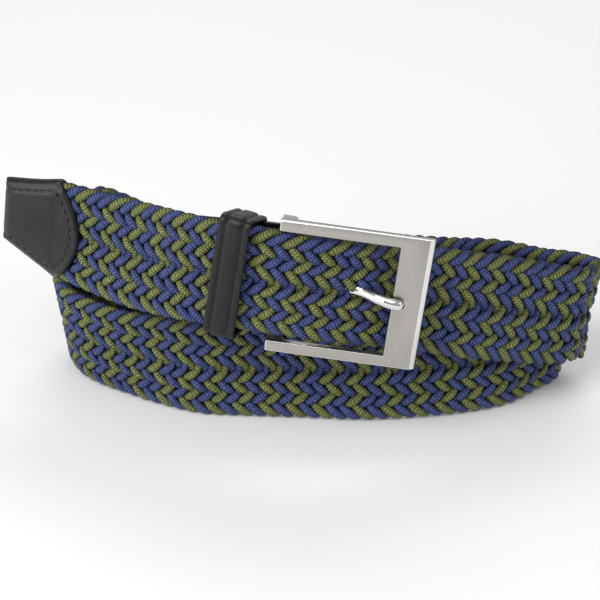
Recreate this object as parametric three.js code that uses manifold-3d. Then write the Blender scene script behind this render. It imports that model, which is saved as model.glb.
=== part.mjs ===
// An elastic stretch belt: a flat braided strap fastened in its buckle and coiled in two turns on edge.
// Millimetres, +X along the coil to the buckle's side, +Y to the back of the coil, +Z up.
import * as THREE from "three";
import { mergeVertices } from "three/addons/utils/BufferGeometryUtils.js";
import Module from "manifold-3d";

const wasm = await Module();
wasm.setup();

// Strap
const BELT_WIDTH = 35;
const BELT_THICK = 4.6;
const EDGE_FLAT = 1.4; // flat along the middle of its rounded edges
const STITCHED_THICK = 3; // where the braid is pressed flat between two plies of leather
const PRESS_LENGTH = 7; // stretch over which it goes from full thickness to that

// Coil
const COIL_LENGTH = 190;
const COIL_DEPTH = 68;
const COIL_X = 1.3; // the coil's middle from the point that the table's shares are counted from
const COIL_Y = 5.35;
const STEP = 4; // spacing of the strap's sections along its path
const UPRIGHT_FROM = 300; // past this length its sections stay upright instead of leaning with its slope
const UPRIGHT_TO = 50; // until this far from the path's end
const UPRIGHT_BLEND = 16;

// Leather
const LEATHER = 1.2;
const FIT = 0.3; // clearance between pieces that touch
const LAYER_GAP = 0.7; // between the strap's two layers behind the buckle
const TIP_LENGTH = 30;
const TIP_TAPER = 20;
const TIP_BLUNT = 22; // width of the blunt end
const TIP_BULGE = 9; // how far the inner edge bows along the strap
const TIP_EDGE = 1.2; // leather beside the strap's own tapered end
const CHAPE_LENGTH = 43;
const CHAPE_WIDTH = 31.6;
const CHAPE_MARGIN = 0.8; // leather beyond each edge of the strap stitched in it
const CHAPE_DROOP = 2.2; // how much lower than the strap in front of it its free end lies
const CHAPE_SLOT = 14; // slot for the prong, from the crossbar
const CHAPE_STRAP_GAP = 6; // the strap's stitched end to the crossbar
const KEEPER_WIDTH = 10;
const KEEPER_WALL = 1.6;
const KEEPER_FROM_BAR = 16.5; // crossbar to the keeper's middle
const KEEPER_ROUND = 1.2; // inner corner radius
const KEEPER_LOOSE = 0.9; // clearance in front of and behind what it holds
const KEEPER_SIDE = 0.5; // and beside the strap's edges
const KEEPER_TOP_RISE = 0.75; // its top slopes down from over the strap
const KEEPER_TOP_FALL = 2.25; // to the lower top edge of the chape
const GROOVE_DEPTH = 0.45;
const GROOVE_WIDTH = 0.9;

// Buckle
const BAR_FROM_TIP = 102; // the strap's blunt end to the crossbar, along the strap
const CROSSBAR_RADIUS = 1.5;
const CROSSBAR_DROP = 0.4; // how much lower than the strap's middle the buckle's middle lies there
const BUCKLE_REACH = 42.6; // crossbar to the far side of the front bar
const BUCKLE_HEEL = 3.5; // arms behind the crossbar
const FRONT_BAR = 10;
const ARM = 3.5;
const ARM_THICK = 2.6;
const ARM_EDGE = 0.5; // bevel along its edges
const ARM_SUNK = 0.6; // the arms' faces behind the strap's face at the crossbar
const BAR_ROUND = 3; // rounding of the front bar's far edge, along and out
const EAR = 1.4; // ears on the arms' inner sides, which reach back to the crossbar
const BUCKLE_TURN = -4; // degrees that the buckle is turned towards the front, from +X
const BUCKLE_FALL = 6.8; // degrees that it falls towards the front bar
const BUCKLE_ROLL = -3; // degrees that its top leans back
const WINDOW_CLEAR = 0.9; // arms to the strap's edges
const PRONG_WIDTH = 3.6;
const PRONG_THICK = 2.8;
const PRONG_LOOP = 1.4; // wall of its loop round the crossbar
const PRONG_OVERLAP = 4; // prong tip past the front bar's inner edge
const NOTCH_DEPTH = 0.8;
const SLOT_SIDE = 0.8; // room beside the prong in the chape's slot

// The prong's middle line: shares of the way from the crossbar to its tip, and of the tip's height above it
const PRONG_ROWS = [
  { along: 0.04, rise: 0.14 },
  { along: 0.28, rise: 0.34 },
  { along: 0.5, rise: 0.6 },
  { along: 0.68, rise: 0.86 },
  { along: 0.84, rise: 0.985 },
  { along: 1.0, rise: 1.0 },
];

// Tilts of the strap are in degrees, top outwards. Shares of x and y are of the coil's half length and half
// depth, and those of rise, the height of the strap's lower edge, are of the belt's width.
const COIL_ROWS = [
  { x: -1.01, y: 0.2, rise: 1.155, tilt: 0 },
  { x: -0.86, y: -0.025, rise: 1.083, tilt: -1 },
  { x: -0.71, y: -0.26, rise: 1.045, tilt: -9 },
  { x: -0.54, y: -0.565, rise: 1.06, tilt: -16 },
  { x: -0.37, y: -0.87, rise: 1.095, tilt: -11 },
  { x: -0.18, y: -1.09, rise: 1.11, tilt: -6 },
  { x: 0.005, y: -1.15, rise: 1.045, tilt: -4 },
  { x: 0.175, y: -1.07, rise: 0.94, tilt: -4.5 },
  { x: 0.34, y: -0.94, rise: 0.84, tilt: -8 },
  { x: 0.49, y: -0.86, rise: 0.73, tilt: -11 },
  { x: 0.64, y: -0.75, rise: 0.615, tilt: -11 },
  { x: 0.785, y: -0.6, rise: 0.47, tilt: -5 },
  { x: 0.895, y: -0.46, rise: 0.37, tilt: 2 },
  { x: 0.945, y: -0.28, rise: 0.32, tilt: 6 },
  { x: 0.958, y: -0.1, rise: 0.26, tilt: 7 },
  { x: 0.92, y: 0.1, rise: 0.21, tilt: 7 },
  { x: 0.83, y: 0.29, rise: 0.155, tilt: 6 },
  { x: 0.68, y: 0.51, rise: 0.14, tilt: 5 },
  { x: 0.51, y: 0.66, rise: 0.09, tilt: 4 },
  { x: 0.24, y: 0.84, rise: 0.05, tilt: 2 },
  { x: -0.02, y: 0.94, rise: 0.008, tilt: 0 },
  { x: -0.24, y: 0.93, rise: 0.0, tilt: 0 },
  { x: -0.46, y: 0.86, rise: 0.0, tilt: 0 },
  { x: -0.65, y: 0.76, rise: 0.0, tilt: 0 },
  { x: -0.775, y: 0.6, rise: 0.0, tilt: 0 },
  { x: -0.83, y: 0.4, rise: 0.0, tilt: 6 },
  { x: -0.83, y: 0.19, rise: 0.0, tilt: 7 },
  { x: -0.785, y: -0.09, rise: 0.0, tilt: 7 },
  { x: -0.71, y: -0.29, rise: 0.0, tilt: 7 },
  { x: -0.6, y: -0.48, rise: 0.0, tilt: 7 },
  { x: -0.5, y: -0.6, rise: 0.0, tilt: 3 },
  { x: -0.35, y: -0.74, rise: 0.0, tilt: -1 },
  { x: -0.18, y: -0.755, rise: 0.0, tilt: -5 },
  { x: 0.0, y: -0.76, rise: 0.0, tilt: -8 },
  { x: 0.22, y: -0.79, rise: 0.0, tilt: -9 },
  { x: 0.48, y: -0.71, rise: 0.0, tilt: -8 },
  { x: 0.67, y: -0.58, rise: 0.0, tilt: -4 },
  { x: 0.8, y: -0.36, rise: 0.0, tilt: 3 },
  { x: 0.865, y: -0.235, rise: 0.0, tilt: 5 },
  { x: 0.885, y: -0.105, rise: 0.0, tilt: 5 },
  { x: 0.86, y: 0.03, rise: 0.0, tilt: 5 },
  { x: 0.785, y: 0.135, rise: 0.0, tilt: 3 },
  { x: 0.62, y: 0.335, rise: 0.0, tilt: 2 },
  { x: 0.45, y: 0.48, rise: 0.002, tilt: 2 },
  { x: 0.22, y: 0.64, rise: 0.01, tilt: 0 },
  { x: -0.02, y: 0.71, rise: 0.05, tilt: 0 },
  { x: -0.24, y: 0.69, rise: 0.13, tilt: 0 },
  { x: -0.44, y: 0.63, rise: 0.24, tilt: 0 },
  { x: -0.6, y: 0.53, rise: 0.39, tilt: 0 },
  { x: -0.7, y: 0.38, rise: 0.54, tilt: 0 },
  { x: -0.74, y: 0.19, rise: 0.68, tilt: 0 },
  { x: -0.705, y: 0.02, rise: 0.82, tilt: -3 },
  { x: -0.63, y: -0.1, rise: 0.94, tilt: -7 },
];

const materials = {
  braid: new THREE.MeshStandardMaterial({ color: 0x3c4b6a, roughness: 0.9, metalness: 0 }),
  leather: new THREE.MeshStandardMaterial({ color: 0x1b1b1e, roughness: 0.45, metalness: 0 }),
  satin: new THREE.MeshStandardMaterial({ color: 0xb9b4ac, roughness: 0.35, metalness: 1 }),
  polished: new THREE.MeshStandardMaterial({ color: 0xc8c8cc, roughness: 0.12, metalness: 1 }),
};

// Path of the strap's middle

function blend(a, b, c, d, t) {
  return 0.5 * (2 * b + (c - a) * t + (2 * a - 5 * b + 4 * c - d) * t * t + (3 * b - 3 * c + d - a) * t ** 3);
}

function smooth(t) {
  const u = THREE.MathUtils.clamp(t, 0, 1);
  return u * u * (3 - 2 * u);
}

function stationOf(row) {
  const tilt = THREE.MathUtils.degToRad(row.tilt);
  const x = COIL_X + (row.x * COIL_LENGTH) / 2;
  const y = COIL_Y + (row.y * COIL_DEPTH) / 2;
  const lowest = (BELT_WIDTH / 2) * Math.cos(tilt) + (EDGE_FLAT / 2) * Math.abs(Math.sin(tilt));
  const z = row.rise * BELT_WIDTH + lowest;
  return [x, y, z, tilt];
}

// A path through stations of x, y, z and tilt, which gives the strap's frame at any length along it.
class StrapPath {
  constructor(stations) {
    this.stations = stations;
    this.samples = [];
    const perRow = 24;
    let length = 0;
    let last = null;
    for (let i = 0; i <= (stations.length - 1) * perRow; i++) {
      const [x, y, z, tilt] = this.between(i / perRow);
      const point = new THREE.Vector3(x, y, z);
      length += last ? point.distanceTo(last) : 0;
      last = point;
      this.samples.push({ length, point, tilt });
    }
    this.length = length;
  }

  between(place) {
    const rows = this.stations;
    const i = Math.min(Math.floor(place), rows.length - 2);
    const row = (k) => rows[THREE.MathUtils.clamp(k, 0, rows.length - 1)];
    return rows[i].map((_, n) => blend(row(i - 1)[n], row(i)[n], row(i + 1)[n], row(i + 2)[n], place - i));
  }

  at(length) {
    const wanted = THREE.MathUtils.clamp(length, 0, this.length);
    let i = this.samples.findIndex((s) => s.length >= wanted);
    i = THREE.MathUtils.clamp(i, 1, this.samples.length - 1);
    const [a, b] = [this.samples[i - 1], this.samples[i]];
    const share = (wanted - a.length) / (b.length - a.length);
    return {
      point: a.point.clone().lerp(b.point, share).addScaledVector(
        b.point.clone().sub(a.point).normalize(), length - wanted),
      tilt: THREE.MathUtils.lerp(a.tilt, b.tilt, share),
    };
  }

  // along the strap, up across its width, and out of its face
  frame(length) {
    const { point, tilt } = this.at(length);
    const along = this.at(length + 1).point.sub(this.at(length - 1).point).normalize();
    const level = along.clone().cross(new THREE.Vector3(0, 0, 1)).normalize();
    const past = smooth((length - UPRIGHT_FROM) / UPRIGHT_BLEND);
    const before = smooth((this.length - UPRIGHT_TO - length) / UPRIGHT_BLEND);
    const facing = along.clone().setZ(along.z * (1 - past * before)).normalize();
    const up = level.clone().cross(facing).multiplyScalar(Math.cos(tilt)).addScaledVector(level, Math.sin(tilt));
    const out = along.clone().cross(up);
    up.divideScalar(out.length());
    return { point, along, up, out: out.normalize() };
  }

  place(length, across, out) {
    const f = this.frame(length);
    return f.point.addScaledVector(f.up, across).addScaledVector(f.out, out);
  }
}

// The strap's first stretch, then the whole path: its far end lies behind the first stretch, in the chape.
const outer = new StrapPath(COIL_ROWS.map(stationOf));
const CHAPE_HALF = STITCHED_THICK / 2 + FIT + LEATHER;
const LAYER = BELT_THICK / 2 + LAYER_GAP + CHAPE_HALF;
const lastRows = [-1, 0, 1, 2, 3, 4, 5, 6].map((k) => {
  const length = BAR_FROM_TIP + (k / 5 - 1) * CHAPE_LENGTH;
  const { tilt } = outer.at(length);
  const p = outer.place(length, -CHAPE_DROOP * (1 - k / 5), -LAYER);
  return [p.x, p.y, p.z, tilt];
});
const strap = new StrapPath([...COIL_ROWS.map(stationOf), ...lastRows]);

function lengthNear(path, target, from) {
  let best = from;
  for (let s = from; s < path.length; s += 0.05)
    if (path.at(s).point.distanceTo(target) < path.at(best).point.distanceTo(target)) best = s;
  return best;
}

const crossbarPoint = outer.place(BAR_FROM_TIP, -CROSSBAR_DROP, -LAYER);
const STRAP_LENGTH = lengthNear(strap, crossbarPoint, strap.length * 0.8);

// Mesh building

function meshOf(name, geometry, material) {
  const mesh = new THREE.Mesh(geometry, material);
  mesh.name = name;
  return mesh;
}

function geometryOf(points, triangles) {
  const geometry = new THREE.BufferGeometry();
  geometry.setAttribute("position", new THREE.Float32BufferAttribute(points.flatMap((p) => p.toArray()), 3));
  geometry.setIndex(triangles);
  return geometry;
}

// A skin over rings with as many points each, and with flat ends unless the last ring joins the first.
function loft(rings, closed = false) {
  const n = rings[0].length;
  const triangles = [];
  const spans = closed ? rings.length : rings.length - 1;
  for (let i = 0; i < spans; i++)
    for (let j = 0; j < n; j++) {
      const a = i * n + j;
      const b = i * n + ((j + 1) % n);
      const c = ((i + 1) % rings.length) * n + j;
      const d = ((i + 1) % rings.length) * n + ((j + 1) % n);
      triangles.push(a, c, b, b, c, d);
    }
  const lastRing = (rings.length - 1) * n;
  for (let j = 1; !closed && j < n - 1; j++) {
    triangles.push(0, j, j + 1);
    triangles.push(lastRing, lastRing + j + 1, lastRing + j);
  }
  return geometryOf(rings.flat(), triangles);
}

function solidOf(geometry) {
  const bare = geometry.clone();
  bare.deleteAttribute("normal");
  bare.deleteAttribute("uv");
  const merged = mergeVertices(bare, 1e-4);
  const vertProperties = merged.attributes.position.array;
  const triVerts = new Uint32Array(merged.index.array);
  return new wasm.Manifold(new wasm.Mesh({ numProp: 3, vertProperties, triVerts }));
}

function geometryFrom(solid) {
  const mesh = solid.getMesh();
  const geometry = new THREE.BufferGeometry();
  geometry.setAttribute("position", new THREE.BufferAttribute(mesh.vertProperties, 3));
  geometry.setIndex(new THREE.BufferAttribute(mesh.triVerts, 1));
  return geometry;
}

// The strap's section as points of across and out, counter-clockwise seen from ahead: its edges are rounded,
// with a narrow flat in their middle.
function strapSection(width, thick) {
  const points = [];
  const turn = 5;
  const flat = Math.sin((Math.PI * 2) / turn);
  for (const side of [1, -1])
    for (let k = 0; k <= turn; k++) {
      const angle = (Math.PI * k) / turn;
      const across = side * ((width - thick) / 2 + (thick / 2) * Math.min(1, Math.sin(angle) / flat));
      points.push([across, side * (thick / 2) * Math.cos(angle)]);
    }
  return points;
}

function ringAt(path, length, section) {
  return section.map(([across, out]) => path.place(length, across, out));
}

// Width of the leather tip, and thickness of the strap, at a length from the blunt end.
function tipWidth(length) {
  return THREE.MathUtils.lerp(TIP_BLUNT, BELT_WIDTH, THREE.MathUtils.clamp(length / TIP_TAPER, 0, 1));
}

function strapWidth(length) {
  const edge = TIP_EDGE + FIT;
  const free = smooth((length - TIP_TAPER) / edge);
  const width = THREE.MathUtils.lerp(tipWidth(length) - 2 * edge, BELT_WIDTH, free);
  const fromChape = smooth((STRAP_LENGTH - CHAPE_LENGTH - STEP / 2 - length) / PRESS_LENGTH);
  return THREE.MathUtils.lerp(CHAPE_WIDTH - 2 * CHAPE_MARGIN, width, fromChape);
}

function strapThick(length) {
  const fromTip = smooth((length - TIP_TAPER) / PRESS_LENGTH);
  const fromChape = smooth((STRAP_LENGTH - CHAPE_LENGTH - STEP / 2 - length) / PRESS_LENGTH);
  return THREE.MathUtils.lerp(STITCHED_THICK, BELT_THICK, Math.min(fromTip, fromChape));
}

// Lengths between two places at which a piece has its sections. Pieces share them, so that their facets agree.
function sectionLengths(from, to) {
  const fineUntil = TIP_TAPER + PRESS_LENGTH;
  const fineFrom = STRAP_LENGTH - CHAPE_LENGTH - 2 * PRESS_LENGTH;
  const lengths = [from];
  for (let length = 0; length < to - STEP / 8; length += length < fineUntil || length > fineFrom ? STEP / 2 : STEP)
    if (length > from + STEP / 8) lengths.push(length);
  return [...lengths, to];
}

// The strap's solid between two lengths, grown by a clearance all round.
function strapSolid(from, to, grow) {
  const rings = [];
  for (const length of sectionLengths(from, to)) {
    const width = strapWidth(length) + 2 * grow;
    rings.push(ringAt(strap, length, strapSection(width, strapThick(length) + 2 * grow)));
  }
  return solidOf(loft(rings));
}

// A block that follows a path between two lengths, with a rectangular section.
function blockAlong(path, from, to, width, thick) {
  const section = [[width / 2, thick / 2], [width / 2, -thick / 2], [-width / 2, -thick / 2], [-width / 2, thick / 2]];
  return solidOf(loft(sectionLengths(from, to).map((length) => ringAt(path, length, section))));
}

// Buckle's own axes: along from the crossbar to the front bar, up along the crossbar, out to the front
const [buckleTurn, buckleFall, buckleRoll] = [BUCKLE_TURN, BUCKLE_FALL, BUCKLE_ROLL].map(THREE.MathUtils.degToRad);
const buckleAlong = new THREE.Vector3(Math.cos(buckleTurn), Math.sin(buckleTurn), -Math.tan(buckleFall)).normalize();
const buckleLevel = buckleAlong.clone().cross(new THREE.Vector3(0, 0, 1)).normalize();
const buckleUp = buckleLevel.clone().cross(buckleAlong).multiplyScalar(Math.cos(buckleRoll))
  .addScaledVector(buckleLevel, Math.sin(buckleRoll));
const buckleOut = buckleAlong.clone().cross(buckleUp);
const buckleMatrix = new THREE.Matrix4().makeBasis(buckleAlong, buckleUp, buckleOut).setPosition(crossbarPoint);
const toBuckle = buckleMatrix.clone().invert();

// Height of the strap's face over the crossbar at a length past it, at its highest.
function strapHeight(past) {
  const across = [-BELT_WIDTH / 2, 0, BELT_WIDTH / 2];
  return Math.max(...across.map((w) => outer.place(BAR_FROM_TIP + past, w, BELT_THICK / 2).applyMatrix4(toBuckle).z));
}

const FRONT_BAR_START = BUCKLE_REACH - FRONT_BAR;
const UNDER_BAR = Math.max(...[0, 0.25, 0.5, 0.75, 1].map((k) => strapHeight(FRONT_BAR_START + k * FRONT_BAR)));
const FACE_HEIGHT = Math.max(LAYER + BELT_THICK / 2 - ARM_SUNK, UNDER_BAR + FIT + ARM_THICK);
const WINDOW_HEIGHT = BELT_WIDTH + 2 * WINDOW_CLEAR;
const OUTER_HEIGHT = WINDOW_HEIGHT + 2 * ARM;

function buckleFrame() {
  const [heel, reach] = [-BUCKLE_HEEL + ARM_EDGE, BUCKLE_REACH - ARM_EDGE];
  const [back, face] = [FACE_HEIGHT - ARM_THICK + ARM_EDGE, FACE_HEIGHT - ARM_EDGE];
  const side = new THREE.Shape();
  side.moveTo(heel, back);
  side.lineTo(reach, back);
  side.quadraticCurveTo(reach, face, reach - BAR_ROUND, face);
  side.lineTo(heel, face);
  const depth = OUTER_HEIGHT - 2 * ARM_EDGE;
  const plate = new THREE.ExtrudeGeometry(side, {
    depth,
    bevelThickness: ARM_EDGE,
    bevelSize: ARM_EDGE,
    bevelSegments: 2,
    curveSegments: 6,
  });
  plate.translate(0, 0, -depth / 2);
  plate.rotateX(Math.PI / 2);
  const opening = new THREE.BoxGeometry(FRONT_BAR_START + 20, WINDOW_HEIGHT, 60);
  opening.translate((FRONT_BAR_START - 20) / 2, 0, 0);
  const crossbar = new THREE.CylinderGeometry(CROSSBAR_RADIUS, CROSSBAR_RADIUS, WINDOW_HEIGHT + EAR, 16);
  const notch = new THREE.BoxGeometry(2 * PRONG_OVERLAP, PRONG_WIDTH + 2 * FIT, 2 * NOTCH_DEPTH);
  notch.translate(FRONT_BAR_START, 0, FACE_HEIGHT);
  let frame = solidOf(plate).subtract(solidOf(opening)).subtract(solidOf(notch)).add(solidOf(crossbar));
  const earLength = BUCKLE_HEEL - ARM_EDGE + CROSSBAR_RADIUS;
  const earDepth = FACE_HEIGHT - ARM_THICK / 2 + CROSSBAR_RADIUS;
  for (const sign of [1, -1]) {
    const ear = new THREE.BoxGeometry(earLength, EAR, earDepth);
    ear.translate(CROSSBAR_RADIUS - earLength / 2, (sign * (WINDOW_HEIGHT + EAR)) / 2, earDepth / 2 - CROSSBAR_RADIUS);
    frame = frame.add(solidOf(ear));
  }
  return geometryFrom(frame).applyMatrix4(buckleMatrix);
}

// The prong, grown by a clearance all round where it is a hole.
function prongSolid(grow) {
  const reach = FRONT_BAR_START + PRONG_OVERLAP - 2 * FIT;
  const height = FACE_HEIGHT - NOTCH_DEPTH + FIT + PRONG_THICK / 2;
  const line = new THREE.CatmullRomCurve3(
    PRONG_ROWS.map((row) => new THREE.Vector3(row.along * reach, 0, row.rise * height)),
  );
  const sides = 10;
  const rings = [];
  const rod = 20;
  for (let i = 0; i <= rod; i++) {
    const point = line.getPoint(i / rod);
    const along = line.getTangent(i / rod);
    const out = along.clone().cross(new THREE.Vector3(0, 1, 0));
    const end = Math.sqrt(Math.max(0.2, 1 - Math.max(0, (i / rod - 0.93) / 0.07) ** 2));
    const ring = [];
    for (let j = 0; j < sides; j++) {
      const angle = (-2 * Math.PI * j) / sides;
      ring.push(point.clone()
        .addScaledVector(new THREE.Vector3(0, 1, 0), (PRONG_WIDTH / 2 + grow) * end * Math.cos(angle))
        .addScaledVector(out, (PRONG_THICK / 2 + grow) * end * Math.sin(angle)));
    }
    rings.push(ring);
  }
  const inner = CROSSBAR_RADIUS + FIT;
  const half = PRONG_WIDTH / 2 + grow;
  const profile = [[inner, -half], [inner + PRONG_LOOP + grow, -half], [inner + PRONG_LOOP + grow, half], [inner, half]];
  const loop = new THREE.LatheGeometry([...profile, profile[0]].map(([x, y]) => new THREE.Vector2(x, y)), 24);
  const bore = new THREE.CylinderGeometry(inner, inner, 2 * half + 1, 24);
  const rodSolid = solidOf(loft(rings)).subtract(solidOf(bore));
  const solid = solidOf(loop).add(rodSolid);
  const placed = geometryFrom(solid).applyMatrix4(buckleMatrix);
  return solidOf(placed);
}

function leatherTip() {
  const rings = [];
  const add = (length, width) => {
    const thick = strapThick(length) + 2 * (FIT + LEATHER);
    rings.push(ringAt(strap, length, strapSection(width, Math.min(thick, width * 0.9))));
  };
  for (let k = 0; k <= 6; k++) add((TIP_TAPER * k) / 6, tipWidth((TIP_TAPER * k) / 6));
  const bow = 10;
  const start = TIP_LENGTH - TIP_BULGE;
  for (let k = 0; k <= bow; k++) {
    const half = Math.cos((Math.PI / 2) * (k / bow) * 0.94);
    add(start + TIP_BULGE * (1 - half ** 2), BELT_WIDTH * half);
  }
  return geometryFrom(solidOf(loft(rings)).subtract(strapSolid(STRAP_START - FIT, TIP_LENGTH + 2 * STEP, FIT)));
}

function leatherChape() {
  const thick = 2 * CHAPE_HALF;
  const height = CHAPE_WIDTH;
  const start = STRAP_LENGTH - CHAPE_LENGTH;
  const fold = new THREE.CylinderGeometry(CHAPE_HALF, CHAPE_HALF, height, 24).applyMatrix4(buckleMatrix);
  const room = 2 * (STITCHED_THICK / 2 + FIT);
  const eye = new THREE.CylinderGeometry(room / 2, room / 2, 2 * height, 24).applyMatrix4(buckleMatrix);
  const slotEnd = STRAP_LENGTH + 2 * CHAPE_HALF;
  const slotWidth = PRONG_WIDTH + 2 * SLOT_SIDE;
  const chape = blockAlong(strap, start, STRAP_LENGTH, height, thick)
    .add(solidOf(fold))
    .subtract(blockAlong(strap, start - STEP, STRAP_LENGTH, 2 * height, room))
    .subtract(solidOf(eye))
    .subtract(blockAlong(strap, STRAP_LENGTH - CHAPE_SLOT, slotEnd, slotWidth, 2 * thick));
  return geometryFrom(chape);
}

// The keeper: a grooved strip of leather bent round the strap and the chape in a loop with round corners.
function keeperLoop() {
  const high = BELT_WIDTH + 2 * KEEPER_SIDE;
  const front = BELT_THICK / 2 + KEEPER_LOOSE;
  const back = -LAYER - CHAPE_HALF - KEEPER_LOOSE;
  const deep = front - back;
  const half = KEEPER_WIDTH / 2;
  const groove = (middle) => [
    [middle - GROOVE_WIDTH / 2, KEEPER_WALL],
    [middle, KEEPER_WALL - GROOVE_DEPTH],
    [middle + GROOVE_WIDTH / 2, KEEPER_WALL],
  ];
  const edge = KEEPER_WALL / 4;
  const profile = [
    [-half, 0],
    [-half, KEEPER_WALL - edge],
    [-half + edge, KEEPER_WALL],
    ...groove(-half * 0.55),
    ...groove(half * 0.5),
    [half - edge, KEEPER_WALL],
    [half, KEEPER_WALL - edge],
    [half, 0],
  ];
  const frame = outer.frame(BAR_FROM_TIP - KEEPER_FROM_BAR);
  const spot = (along, across, out) => frame.point.clone()
    .addScaledVector(frame.along, along)
    .addScaledVector(frame.up, across)
    .addScaledVector(frame.out, out);
  const corners = [
    [front, high / 2 + KEEPER_TOP_RISE],
    [front, -high / 2],
    [back, -high / 2],
    [back, high / 2 - KEEPER_TOP_FALL],
  ];
  const turn = 5;
  const rings = [];
  const facing = (from, to) => Math.atan2(from[0] - to[0], to[1] - from[1]);
  corners.forEach((corner, k) => {
    const before = facing(corner, corners[(k + 3) % 4]);
    const after = facing(corners[(k + 1) % 4], corner);
    const half = Math.atan2(Math.sin(after - before), Math.cos(after - before)) / 2;
    const inset = KEEPER_ROUND / Math.cos(half);
    const centre = [
      corner[0] - inset * Math.cos(before + half),
      corner[1] - inset * Math.sin(before + half),
    ];
    for (let step = 0; step <= turn; step++) {
      const angle = before + (2 * half * step) / turn;
      rings.push(profile.map(([along, wall]) => spot(
        along,
        centre[1] + (KEEPER_ROUND + wall) * Math.sin(angle),
        centre[0] + (KEEPER_ROUND + wall) * Math.cos(angle),
      )));
    }
  });
  return loft(rings, true);
}

const STRAP_START = 1 + TIP_EDGE + FIT;
const STRAP_END = STRAP_LENGTH - CHAPE_STRAP_GAP;
const braid = strapSolid(STRAP_START, STRAP_END, 0).subtract(prongSolid(FIT));

const group = new THREE.Group();
group.add(
  meshOf("braided_strap", geometryFrom(braid), materials.braid),
  meshOf("leather_tip", leatherTip(), materials.leather),
  meshOf("leather_chape", leatherChape(), materials.leather),
  meshOf("keeper_loop", keeperLoop(), materials.leather),
  meshOf("buckle_frame", buckleFrame(), materials.satin),
  meshOf("prong", geometryFrom(prongSolid(0)), materials.polished),
);
export default group;
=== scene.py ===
# Looks, light and camera for the coiled stretch belt. Lengths are in millimetres until a mesh is made, and
# in metres for the floor, the lights and the materials' relief.
import math

import bmesh
import bpy
import numpy as np
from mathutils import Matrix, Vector


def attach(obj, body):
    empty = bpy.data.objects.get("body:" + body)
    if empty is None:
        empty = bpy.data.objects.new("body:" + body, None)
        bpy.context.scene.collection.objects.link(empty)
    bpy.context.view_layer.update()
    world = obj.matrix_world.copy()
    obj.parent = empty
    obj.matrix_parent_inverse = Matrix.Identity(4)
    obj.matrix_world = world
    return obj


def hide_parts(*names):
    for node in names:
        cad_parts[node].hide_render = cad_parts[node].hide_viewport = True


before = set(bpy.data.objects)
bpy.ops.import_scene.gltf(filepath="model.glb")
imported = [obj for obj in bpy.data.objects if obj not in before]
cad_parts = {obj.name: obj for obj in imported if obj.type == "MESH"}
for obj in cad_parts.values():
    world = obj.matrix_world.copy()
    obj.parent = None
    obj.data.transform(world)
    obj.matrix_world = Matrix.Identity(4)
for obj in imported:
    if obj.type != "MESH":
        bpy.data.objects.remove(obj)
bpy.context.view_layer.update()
MM = 0.001

# Strap, coil and leather, as in the CAD
BELT_WIDTH = 35
BELT_THICK = 4.6
EDGE_FLAT = 1.4
STITCHED_THICK = 3
PRESS_LENGTH = 7
COIL_LENGTH = 190
COIL_DEPTH = 68
COIL_X = 1.3
COIL_Y = 5.35
STEP = 4
UPRIGHT_FROM = 300
UPRIGHT_TO = 50
UPRIGHT_BLEND = 16
LEATHER = 1.2
FIT = 0.3
LAYER_GAP = 0.7
TIP_LENGTH = 30
TIP_TAPER = 20
TIP_BLUNT = 22
TIP_BULGE = 9
TIP_EDGE = 1.2
CHAPE_LENGTH = 43
CHAPE_WIDTH = 31.6
CHAPE_MARGIN = 0.8
CHAPE_DROOP = 2.2
CHAPE_SLOT = 14
CHAPE_STRAP_GAP = 6
KEEPER_WIDTH = 10
KEEPER_WALL = 1.6
KEEPER_FROM_BAR = 16.5
KEEPER_ROUND = 1.2
KEEPER_LOOSE = 0.9
KEEPER_SIDE = 0.5
KEEPER_TOP_RISE = 0.75
KEEPER_TOP_FALL = 2.25
GROOVE_DEPTH = 0.45
GROOVE_WIDTH = 0.9

# Buckle, as in the CAD
BAR_FROM_TIP = 102
CROSSBAR_RADIUS = 1.5
CROSSBAR_DROP = 0.4
BUCKLE_REACH = 42.6
BUCKLE_HEEL = 3.5
FRONT_BAR = 10
ARM = 3.5
ARM_THICK = 2.6
ARM_SUNK = 0.6
BAR_ROUND = 3
EAR = 1.4
BUCKLE_TURN = -4
BUCKLE_FALL = 6.8
BUCKLE_ROLL = -3
WINDOW_CLEAR = 0.9
PRONG_WIDTH = 3.6
PRONG_THICK = 2.8
PRONG_LOOP = 1.4
PRONG_OVERLAP = 4
NOTCH_DEPTH = 0.8
SLOT_SIDE = 0.8

# The prong's middle line, as shares of its reach and of its tip's height. Between its ends it is lower than in
# the CAD.
PRONG_ROWS = ((0.04, 0.14), (0.25, 0.2), (0.45, 0.2), (0.62, 0.3), (0.78, 0.72), (0.9, 0.965), (1.0, 1.0))

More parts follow.
